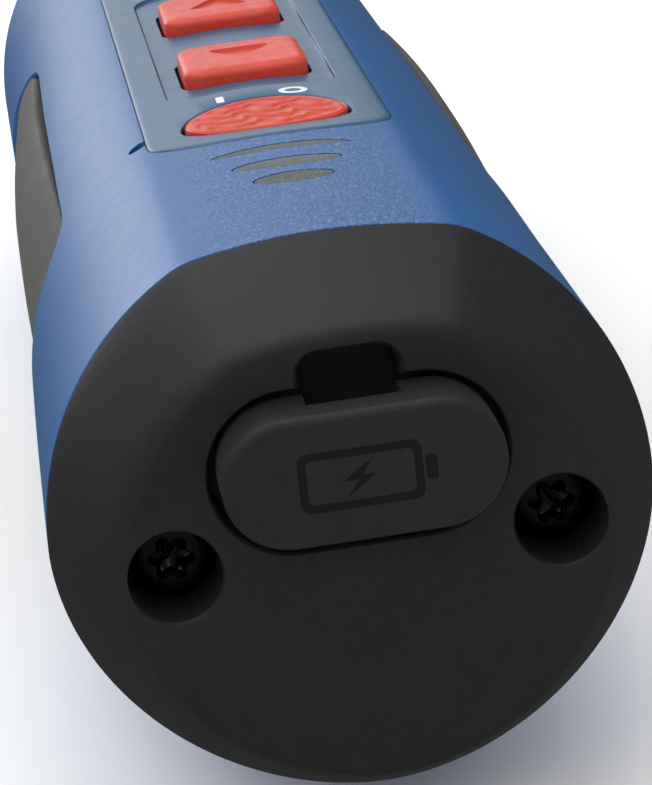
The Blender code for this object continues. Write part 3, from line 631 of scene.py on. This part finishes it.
OLIVE = surface("grip_rubber", (0.033, 0.036, 0.028), 0.66, 1900.0, 0.7, 0.22, 0.06, specks=0.2,
                dust=(0.09, 0.09, 0.075), Sheen_Weight=0.06, Specular_IOR_Level=0.4)
SEAL = surface("seal_rubber", (0.015, 0.015, 0.014), 0.72, 1900.0, 0.6, 0.15)
RED = surface("key_rubber", (0.60, 0.045, 0.022), 0.42, 2600.0, 0.2, 0.08, 0.05, specks=0.10,
              dust=(0.85, 0.25, 0.15), Subsurface_Weight=0.05, Subsurface_Scale=0.0005)
GREY = surface("sounder_mesh", (0.090, 0.108, 0.105), 0.75, 2600.0, 1.0, 0.45, 0.06, specks=0.8,
               dust=(0.30, 0.31, 0.26))
STEEL = surface("black_steel", (0.040, 0.041, 0.044), 0.30, 3500.0, 0.25, 0.2, 0.08, metallic=1.0)
NICKEL = surface("nickel", (0.60, 0.59, 0.56), 0.28, 3000.0, 0.2, 0.06, metallic=1.0)
BOARD = surface("circuit_board", (0.020, 0.130, 0.060), 0.42, 1200.0, 0.4, 0.2)
DARK = surface("dark_component", (0.012, 0.012, 0.014), 0.55, 2400.0, 0.4, 0.2)
CELL = surface("cell_sleeve", (0.040, 0.210, 0.480), 0.34, 1800.0, 0.15, 0.08)
WHITE = surface("white_plastic", (0.78, 0.77, 0.73), 0.45, 2600.0, 0.2, 0.04)
PRINT = surface("white_print", (0.72, 0.77, 0.82), 0.42, 3200.0, 0.3, 0.06)
GLASS = surface("window_lens", (0.72, 0.78, 0.80), 0.06, 3600.0, 0.02, 0.03, 0.02, Transmission_Weight=0.96)
DISPLAY = surface("display_glass", (0.27, 0.33, 0.25), 0.22, 3000.0, 0.08, 0.04, 0.04)
SEGMENT = surface("display_segments", (0.020, 0.026, 0.022), 0.30, 3000.0, 0.1, 0.05)
RING = surface("frosted_ring", (0.72, 0.14, 0.10), 0.38, 2600.0, 0.35, 0.05, Transmission_Weight=0.30,
               Subsurface_Weight=0.15, Subsurface_Scale=0.001)
LED_RED = surface("led_red", (0.70, 0.05, 0.04), 0.15, 3000.0, 0.05, 0.05, 0.04, Transmission_Weight=0.4)
LED_GREEN = surface("led_green", (0.08, 0.55, 0.12), 0.15, 3000.0, 0.05, 0.05, 0.04, Transmission_Weight=0.4)
COPPER = surface("copper", (0.72, 0.36, 0.20), 0.30, 2800.0, 0.2, 0.08, metallic=1.0)

FINISH = {
    "shell_blue": BLUE,
    "fascia_blue": FASCIA_BLUE,
    "cap_black": BLACK,
    "grip_rubber": OLIVE,
    "seal_rubber": SEAL,
    "port_rubber": COVER_BLACK,
    "key_red": RED,
    "sounder_grey": GREY,
    "screw_black": STEEL,
    "nickel": NICKEL,
    "circuit_board": BOARD,
    "inner_black": DARK,
    "cell_sleeve": CELL,
    "switch_white": WHITE,
    "clear_window": GLASS,
    "display": DISPLAY,
    "light_ring": RING,
    "led_red": LED_RED,
    "led_green": LED_GREEN,
    "copper": COPPER,
}
for part in frame["record"]["subparts"]:
    node = frame["nodes"][part["node"]]
    node.data.materials.clear()
    node.data.materials.append(FINISH[part["material_slot"]])
    node.data.shade_smooth()
    node.data.set_sharp_from_angle(angle=radians(30))


# ---------------------------------------------------------------- shells


def ring_ys():
    ys = [SEAM, SEAM + 0.06]
    y = SEAM + 1.0
    while y < SHELL_END - 1.0:
        ys.append(y)
        y += 2.0 if y < 138 else 1.2
    return ys + [SHELL_END - 0.1, SHELL_END]


def shell_rings(arc, inset=0.0, ends=True):
    rings = []
    for y in ring_ys():
        outline = arc(station_at(y))
        edge = ends and y in (SEAM, SHELL_END)
        outline = shrunk(outline, inset + (0.06 if edge else 0.0))
        rings.append([(x, y, z) for x, z in outline])
    return rings


def boss(x, y):
    return post(((BOSS_R, -FAR), (BOSS_R, FAR)), x, y)


def cavity():
    rings = []
    for y in [SEAM - 4.0] + [row[0] for row in STATIONS] + [SHELL_END + 4.0]:
        values = station_at(y)
        section = upper_arc(values, 0.0, 3)[::4] + lower_arc(values, 0.0)[1:-1:4]
        ring = []
        for x, z in section:
            r = sqrt(x * x + z * z)
            wall = WALL - (WALL - DECK_WALL) * min(max((z / r - 0.85) / 0.1, 0.0), 1.0)
            ring.append((x * (1 - wall / r), y, z * (1 - wall / r)))
        rings.append(ring)
    posts = [boss(sign * x, y) for y, x in SHELL_SCREWS for sign in (-1, 1)]
    return carve(loft(rings), posts)


def grip_pocket(side):
    return grip_patch(side, ((0.3, -2.1), (0.3, -0.35), (0.36, -0.15), (0.55, 0.05), (0.9, 1.2)))


def hole(outline, gap, rim=0.18, bottom=-8.0):
    """A cutter through the deck whose rim is eased."""
    levels = ((gap, bottom), (gap, -rim), (gap + 0.3 * rim, -0.3 * rim), (gap + rim, 0.03), (gap + rim, 3.0))
    return plate(outline, levels)


def shells():
    cutters = [cavity(), grip_pocket(-1), grip_pocket(1)]
    for _, y, _ in KEYS:
        cutters.append(hole(rounded(*KEY_SIZE, KEY_CORNER, (0.0, y)), GAP))
    cutters.append(hole(power_outline(), GAP))
    cutters.append(hole(between(*WINDOW), GAP))
    for slot in SLOTS:
        cutters.append(hole(lens(*slot), 0.0, 0.05))
    cutters.append(plate(fascia_outline(), ((0.06, -0.55), (0.06, -0.05), (0.12, 0.02), (0.12, 3.0))))
    cutters.append(post(((0.8, DECK_TOP - 2.8), (0.85, DECK_TOP - 1.0), (1.0, DECK_TOP + 1.0)), *NOTCH))
    bm = carve(loft(shell_rings(upper_arc)), cutters)
    piece("upper_body", bm, BLUE, stands_for=["upper_shell"])

    cutters = [cavity(), grip_pocket(-1), grip_pocket(1)]
    for y, x in SHELL_SCREWS:
        cutters += [post(SCREW_WELL, sign * x, y) for sign in (-1, 1)]
    width, length, corner = REST_PAD
    bed = rounded(width + 2 * GAP, length + 2 * GAP, corner + GAP, REST_PAD_MIDDLE)
    cutters.append(loft([[(x, y, z) for x, y in bed] for z in (-FAR, REST_BED)]))
    bm = carve(loft(shell_rings(lower_arc)), cutters)
    piece("lower_body", bm, BLUE, stands_for=["lower_shell"])


def fascia():
    levels = ((0.0, -0.35), (0.0, -0.06), (-0.04, 0.0), (-0.12, 0.06), (-0.3, 0.1), (-0.6, FASCIA_TOP))
    bm = plate(fascia_outline(), levels)
    top = FASCIA_TOP
    rim = ((-0.25, RECESS_FLOOR), (-0.1, RECESS_FLOOR + 0.04), (0.0, RECESS_FLOOR + 0.15), (0.03, top - 0.06))
    rim += ((0.12, top + 0.02), (0.12, 3.0))
    cutters = [plate(between(*RECESS), rim)]
    for _, y, _ in KEYS:
        cutters.append(hole(rounded(*KEY_SIZE, KEY_CORNER, (0.0, y)), GAP, 0.12))
    edge = ((0.3, -8.0), (0.3, top - 0.14), (0.34, top - 0.04), (0.44, top + 0.01), (0.44, 3.0))
    cutters.append(plate(power_outline(), edge))
    cutters.append(plate(between(*WINDOW), [(0.2 + (grow - 0.3), level) for grow, level in edge]))
    piece("key_fascia", carve(bm, cutters), FASCIA_BLUE, stands_for=["fascia"])


# ---------------------------------------------------------------- keys


def flange(floor_z):
    """A key's wide foot, which holds it in the shell: (growth of the outline, z)."""
    above = floor_z + KEY_FLANGE_THICK
    return [(KEY_FLANGE, floor_z), (KEY_FLANGE, above), (0.0, above)]


def key_levels(proud):
    top = DECK_TOP + proud
    levels = flange(DECK_TOP + KEY_FLOOR) + [(0.0, top - 0.85)]
    for i in range(1, 8):
        a = pi / 2 * i / 7
        levels.append((-1.15 * (1 - cos(a)) ** 1.3, top - 0.85 + 0.72 * sin(a)))
    return levels + [(-1.9, top - 0.08), (-2.8, top - 0.035), (-3.7, top - 0.01)]


def push_key(name, y, points_up):
    rings = []
    for grow, z in key_levels(KEY_PROUD):
        width, length = KEY_SIZE[0] + 2 * grow, KEY_SIZE[1] + 2 * grow
        corner = max(KEY_CAP_CORNER + grow * 0.55, 0.5) if grow < 0 else KEY_CAP_CORNER + grow
        ring = rounded(width, length, min(corner, width / 2 - 0.05), (0.0, y))
        rings.append([(px, py, z) for px, py in ring])
    bm = loft(rings)
    tip, foot = y + 2.1 * points_up, y - 1.7 * points_up
    half = 2.6 * points_up
    corners = [(0.0, tip), (-half, foot), (half, foot)]
    line = smoothed(resampled(corners, 72, closed=True), 10, closed=True)
    shape = [tuple(p) for p in line]
    top = DECK_TOP + KEY_PROUD
    cutter = loft([[(px, py, z) for px, py in grown(shape, grow)] for grow, z in
                   ((-0.3, top - 0.34), (-0.05, top - 0.28), (0.1, top - 0.05), (0.35, top + 0.5))])
    body = name + "_body"
    piece(name + "_cap", carve(bm, [cutter]), RED, body, [name], 40.0)


def ripple(x, y):
    """Height of the on/off key's wavy ribs."""
    swing = 0.55 * sin(2 * pi * x / 3.7 + 0.9 * sin(y)) + 0.25 * sin(2 * pi * x / 1.9 + 1.0 + 1.3 * y)
    wave = sin(2 * pi * (y + swing) / 1.9) + 0.35 * sin(2 * pi * (x + 0.6 * y) / 1.3)
    return 0.13 * max(wave, -0.3)


def power_key():
    outline = power_outline()
    middle = (0.0, POWER_Y + 0.7)
    top = DECK_TOP + POWER_PROUD
    rings = []
    for grow, z in flange(DECK_TOP + KEY_FLOOR) + [(0.0, top - 0.5), (-0.03, top - 0.3)]:
        rings.append([(x, y, z) for x, y in grown(outline, grow)])
    for share, drop in ((0.985, 0.14), (0.965, 0.05), (0.94, 0.0)):
        rings.append([(middle[0] + (x - middle[0]) * share, middle[1] + (y - middle[1]) * share,
                       top - drop - x * x * share / 160) for x, y in outline])
    steps = 34
    for k in range(steps):
        share = 0.93 * (1 - k / steps)
        fade = min(1.0, (0.93 - share) / 0.08)
        ring = []
        for x, y in outline:
            px, py = middle[0] + (x - middle[0]) * share, middle[1] + (y - middle[1]) * share
            ring.append((px, py, top - 0.12 * min(1.0, fade) - px * px / 160 + fade * ripple(px, py)))
        rings.append(ring)
    piece("power_key_cap", loft(rings), RED, "key_power_body", ["key_power"], 50.0)


def marks():
    """A bar for on and a ring for off, printed on the fascia, and nothing else."""
    y = 51.3
    bar = rounded(0.62, 1.9, 0.12, (-2.9, y))
    bm = plate(bar, ((0.0, FASCIA_TOP - 0.05), (0.0, FASCIA_TOP + 0.025)), 0.4)
    piece("mark_on", bm, PRINT)
    outer, inner = rounded(2.3, 2.1, 1.03, (2.9, y)), rounded(1.3, 1.1, 0.53, (2.9, y))
    rings = [[(px, py, z) for px, py in line] for line, z in
             ((inner, -0.05), (outer, -0.05), (outer, 0.025), (inner, 0.025))]
    bm = loft(rings, closed=True)
    for vert in bm.verts:
        vert.co.z += deck_z(vert.co.x, vert.co.y) + FASCIA_TOP
    piece("mark_off", bm, PRINT)


def sounder():
    bm = block((-6.6, 22.0, DECK_TOP - 4.4), (6.6, 38.0, DECK_TOP - 3.4))
    ribs = []
    for slot in SLOTS:
        levels = ((-0.09, -3.7), (-0.09, -0.12), (-0.12, -0.05), (-0.25, -0.02))
        ribs.append(plate(lens(*slot), levels, 0.7))
    bm = carve(bm, ribs, "UNION")
    piece("sounder_grille", bm, GREY, stands_for=["sounder_insert"])


# ---------------------------------------------------------------- rubber


def rubber():
    levels = ((0.0, -1.8), (0.0, -1.15), (-0.06, -0.9), (-0.2, -0.76), (-0.45, -0.7))
    for name, side in (("left", -1), ("right", 1)):
        piece(f"side_grip_{name}", grip_patch(side, levels, GRIP_CROWN), OLIVE,
              stands_for=[f"grip_{name}"], angle=50.0)
    low = REST_Z
    pad = rounded(*REST_PAD, REST_PAD_MIDDLE, 200)
    rings = [(0.0, -19.3), (0.0, low + 0.5), (-0.15, low + 0.18), (-0.5, low)]
    bm = loft([[(x, y, z) for x, y in grown(pad, grow)] for grow, z in rings])
    grooves = []
    for i in range(14):
        y = 53.0 + i * 72.0 / 13
        groove = rounded(12.0, 1.3, 0.64, (0.0, y), 48)
        grooves.append(loft([[(px, py, z) for px, py in grown(groove, grow)] for grow, z in
                             ((-0.2, low + 0.45), (0.0, low + 0.2), (0.2, low - 0.2))]))
    piece("rest_foot", carve(bm, grooves), OLIVE, stands_for=["rest_pad"])


# ---------------------------------------------------------------- end cap


def cap_profile():
    """(share of the seam's section, y) from the face to the seam, with a soft edge round the face."""
    line = [(0.60 * CAP_R, 0.0), (0.775 * CAP_R, 0.0)]
    for i in range(1, 11):
        t = i / 10
        line.append(((1 - 0.219 * (1 - t) ** 1.125) * CAP_R, CAP_END * t))
    soft = smoothed(resampled(line, 44), 4)
    return [(r / CAP_R, y) for r, y in soft]


def upright_cutter(outline, levels):
    """A cutter along y: levels lists (growth of the outline, y)."""
    return loft([[(x, y, z) for x, z in grown(outline, grow)] for grow, y in levels])


def end_cap():
    values = station_at(SEAM)
    section = upper_arc(values, 0.0) + lower_arc(values, 0.0)[1:-1]
    rings = []
    profile = cap_profile()
    profile[-1] = (0.999, CAP_END)
    for share, y in profile:
        rings.append([(x * share, y, z * share) for x, z in section])
    for radius, y in SPIGOT:
        ring = []
        for x, z in section:
            r = sqrt(x * x + z * z)
            ring.append((x * radius / r, y, z * radius / r))
        rings.append(ring)
    cutters = [block(*CAP_HOLLOW)]
    port = port_outline(PORT_HALF)
    rim = ((0.22, -2.0), (0.22, -0.02), (0.1, 0.08), (0.0, 0.3), (0.0, PORT_DEPTH))
    cutters.append(upright_cutter(port, rim))
    nail = rounded(*NAIL_POCKET, (0.0, NAIL_POCKET_Z))
    rim = ((0.55, -2.0), (0.5, -0.02), (0.25, 0.2), (0.1, 0.7), (0.05, 1.8), (0.0, 3.8))
    cutters.append(upright_cutter(nail, rim))
    mouth = rounded(*MOUTH, (0.0, MOUTH_Z))
    cutters.append(upright_cutter(mouth, ((0.0, 2.0), (0.0, 8.0))))
    for _, x in CAP_SCREWS:
        bore = ((COUNTERBORE_R + 0.2, -2.0), (COUNTERBORE_R + 0.2, -0.02), (COUNTERBORE_R + 0.08, 0.08),
                (COUNTERBORE_R, 0.28), (COUNTERBORE_R, COUNTERBORE_DEPTH),
                (1.8, COUNTERBORE_DEPTH), (1.8, 20.0))
        cutters.append(turned(bore, (x, CAP_SCREW_Z)))
    piece("rear_cap", carve(loft(rings), cutters), BLACK, stands_for=["end_cap"])

    for name, x in CAP_SCREWS:
        bm = turned(CAP_SCREW, (x, CAP_SCREW_Z), 72)
        lobes = []
        for i in range(72):
            a = 2 * pi * i / 72
            r = 1.28 + 0.24 * cos(6 * a + (0.6 if x < 0 else 0.2))
            lobes.append((x + r * cos(a), CAP_SCREW_Z + r * sin(a)))
        drive = upright_cutter(lobes, ((0.16, 3.0), (0.14, 3.78), (0.0, 3.95), (0.0, 5.2), (-0.5, 5.45)))
        piece(f"cap_screw_{name}", carve(bm, [drive]), STEEL,
              stands_for=[f"end_cap_screw_{name}"])


def port_cover():
    middle = COVER_Z
    half, height = COVER_HALF
    rings = []
    boss_line = rounded(15.0, 7.0, 3.4, (0.0, middle), 112)
    for y in (3.4, 1.2):
        rings.append([(x, y, z) for x, z in boss_line])
    for inset, y in ((0.12, 1.2), (0.0, 1.05)):
        rings.append([(x, y, z) for x, z in port_outline((half - inset, height - inset), middle)])
    steps = 7
    for i in range(steps + 1):
        a = pi / 2 * i / steps
        inset, y = 0.62 * (1 - cos(a)), -COVER_PROUD + 0.62 * (1 - sin(a))
        rings.append([(x, y, z) for x, z in port_outline((half - inset, height - inset), middle)])
    bm = loft(rings)
    notch_line = rounded(6.3, 6.0, 0.35, (0.0, 12.65), 72)
    notch = upright_cutter(notch_line, ((0.25, -1.35), (0.1, -1.25), (0.0, -1.05), (0.0, 6.0)))
    strap = block((-3.6, -1.6, 0.0), (3.6, 6.0, 3.5))
    piece("port_cover", carve(bm, [notch, strap]), COVER_BLACK, "port_cover_body",
          ["usb_cover"], 40.0)

    face = -COVER_PROUD
    pieces = []
    outer = rounded(8.2, 4.1, 0.7, (-0.35, middle), 96)
    inner = rounded(7.1, 3.0, 0.35, (-0.35, middle), 96)
    levels = ((inner, face + 0.25), (outer, face + 0.25), (outer, face - 0.012), (inner, face - 0.012))
    pieces.append(loft([[(x, y, z) for x, z in line] for line, y in levels], closed=True))
    nub = rounded(0.75, 1.7, 0.25, (4.3, middle), 40)
    pieces.append(upright_cutter(nub, ((0.0, face + 0.25), (0.0, face - 0.012))))
    bolt = [(0.75, 1.25), (-1.35, -0.15), (-0.25, -0.15), (-1.15, -1.25), (0.95, 0.15), (-0.1, 0.15)]
    line = [(x - 0.2, z + middle) for x, z in bolt]
    pieces.append(loft([[(x, y, z) for x, z in line] for y in (face + 0.25, face - 0.012)]))
    for i, bm in enumerate(pieces):
        piece(f"cover_mark_{i + 1}", bm, MARK_BLACK, "port_cover_body")

    ring = rounded(6.0, 0.7, 0.3, (0.0, STRAP_Z), 40)
    ys = [HINGE_Y + i * 5.2 / 26 for i in range(27)]
    bm = loft([[(x, y, z) for x, z in ring] for y in ys])
    made = piece("cover_strap", bm, COVER_BLACK, None, ["usb_cover_strap"])
    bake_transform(made)


# ---------------------------------------------------------------- display and nose


def display():
    levels = ((0.0, -1.2), (0.0, -0.05), (-0.08, 0.05), (-0.25, 0.1))
    bm = plate(between(*WINDOW), levels)
    piece("display_lens", bm, GLASS, stands_for=["lcd_window"])
    top = DECK_TOP - 2.1
    count = 0
    for row, y in enumerate((110.0, 114.6, 119.2)):
        for i in range(6 - row):
            count += 1
            bar = rounded(1.1, 3.2, 0.3, (-4.6 + i * 1.75, y), 32)
            bm = loft([[(px, py, z) for px, py in bar] for z in (top - 0.05, top + 0.04)])
            piece(f"display_bar_{count}", bm, SEGMENT)
    outline, inner = rounded(7.6, 4.0, 0.5, (0.0, 127.5), 48), rounded(6.8, 3.2, 0.3, (0.0, 127.5), 48)
    levels = ((inner, top - 0.05), (outline, top - 0.05), (outline, top + 0.04), (inner, top + 0.04))
    rings = [[(px, py, z) for px, py in line] for line, z in levels]
    piece("display_frame", loft(rings, closed=True), SEGMENT)


def nose():
    start, end = RING_ENDS
    low, high = SLEEVE_ENDS
    sleeve = [(SLEEVE_R, low), (SLEEVE_R, start)]
    sleeve += [(RING_R - 0.3, start), (RING_R - 0.08, start + 0.12), (RING_R, start + 0.4)]
    sleeve += [(RING_R, end - 0.4), (RING_R - 0.08, end - 0.12), (RING_R - 0.3, end)]
    sleeve += [(SLEEVE_R, end), (SLEEVE_R, high), (SLEEVE_BORE_R, high), (SLEEVE_BORE_R, low)]
    piece("glow_ring", turned(sleeve, closed=True), RING, stands_for=["light_ring"])

    first, last = NOSE_ENDS
    late, blunt = NOSE_BEND
    outer = [(NOSE_R - 0.3, first), (NOSE_R - 0.07, first + 0.1), (NOSE_R, first + 0.35)]
    for k in range(3):
        y = first + 0.9 + k * 0.9
        for inset, step in ((0.0, -0.22), (0.25, -0.1), (0.3, 0.0), (0.25, 0.1), (0.0, 0.22)):
            outer.append((NOSE_R - inset, y + step))
    outer.append((NOSE_R, first + NOSE_STRAIGHT))
    for i in range(1, 49):
        share = sin(pi / 2 * i / 48)
        radius = max(NOSE_R * (1 - share**late) ** blunt, 0.05)
        outer.append((radius, first + NOSE_STRAIGHT + (last - first - NOSE_STRAIGHT) * share))
    bore = ((10.0, first - 4), (10.0, 191.0), (6.2, 191.0), (6.2, 212.0))
    bm = carve(turned(outer), [turned(bore)])
    piece("sensing_nose", bm, BLACK, stands_for=["nose_cap"])


shells()
fascia()
for key, key_y, direction in KEYS:
    push_key(key, key_y, direction)
power_key()
marks()
sounder()
rubber()
end_cap()
port_cover()
display()
nose()


# ---------------------------------------------------------------- floor, light and camera


def floor():
    mesh = bpy.data.meshes.new("floor")
    size = 3.0
    corners = [(-size, -size, 0), (size, -size, 0), (size, size, 0), (-size, size, 0)]
    mesh.from_pydata(corners, [], [(0, 1, 2, 3)])
    made, tree, shader = nodes_of("pale_floor", (0.90, 0.90, 0.90), 0.85)
    mesh.materials.append(made)
    obj = bpy.data.objects.new("floor", mesh)
    SCENE.collection.objects.link(obj)
    obj.visible_glossy = False


def lamp(name, place, aim, size, energy, colour=(1.0, 1.0, 1.0)):
    light = bpy.data.lights.new(name, "AREA")
    light.shape = "RECTANGLE"
    light.size, light.size_y = size
    light.energy = energy
    light.color = colour
    obj = bpy.data.objects.new(name, light)
    obj.location = place
    obj.rotation_euler = (Vector(aim) - Vector(place)).to_track_quat("-Z", "Y").to_euler()
    SCENE.collection.objects.link(obj)


floor()
lamp("key_light", (-0.20, 0.10, 1.10), (0.0, -0.02, 0.02), (1.4, 1.4), 7.5)
lamp("deck_sheen", (-0.15, 1.40, 0.62), (0.0, 0.0, 0.03), (1.0, 0.8), 3.0)
lamp("side_sheen", (-0.75, 1.30, 0.40), (0.0, 0.0, 0.03), (0.9, 0.5), 4.5)
lamp("front_fill", (-0.30, -1.0, 0.75), (0.0, -0.1, 0.02), (0.6, 0.4), 1.5)
world = bpy.data.worlds.new("studio")
SCENE.world = world
world.use_nodes = True
sky = world.node_tree
sky.nodes["Background"].inputs[1].default_value = 0.80
dim = sky.nodes.new("ShaderNodeBackground")
dim.inputs[1].default_value = 0.12
for shade in (sky.nodes["Background"], dim):
    shade.inputs[0].default_value = (1.0, 1.0, 1.0, 1.0)
choose = sky.nodes.new("ShaderNodeMixShader")
sky.links.new(sky.nodes.new("ShaderNodeLightPath").outputs["Is Glossy Ray"], choose.inputs[0])
sky.links.new(sky.nodes["Background"].outputs[0], choose.inputs[1])
sky.links.new(dim.outputs[0], choose.inputs[2])
sky.links.new(choose.outputs[0], sky.nodes["World Output"].inputs[0])
SCENE.view_settings.view_transform = "Standard"

camera = bpy.data.cameras.new("camera")
camera.lens = 160.51
camera.sensor_width = 36.0
camera.clip_start = 0.01
viewer = bpy.data.objects.new("camera", camera)
viewer.location = (-0.01960402, -0.32572619, 0.10411441)
viewer.rotation_euler = [radians(a) for a in (71.91705941, 6.59043619, -6.88558433)]
SCENE.collection.objects.link(viewer)
SCENE.camera = viewer
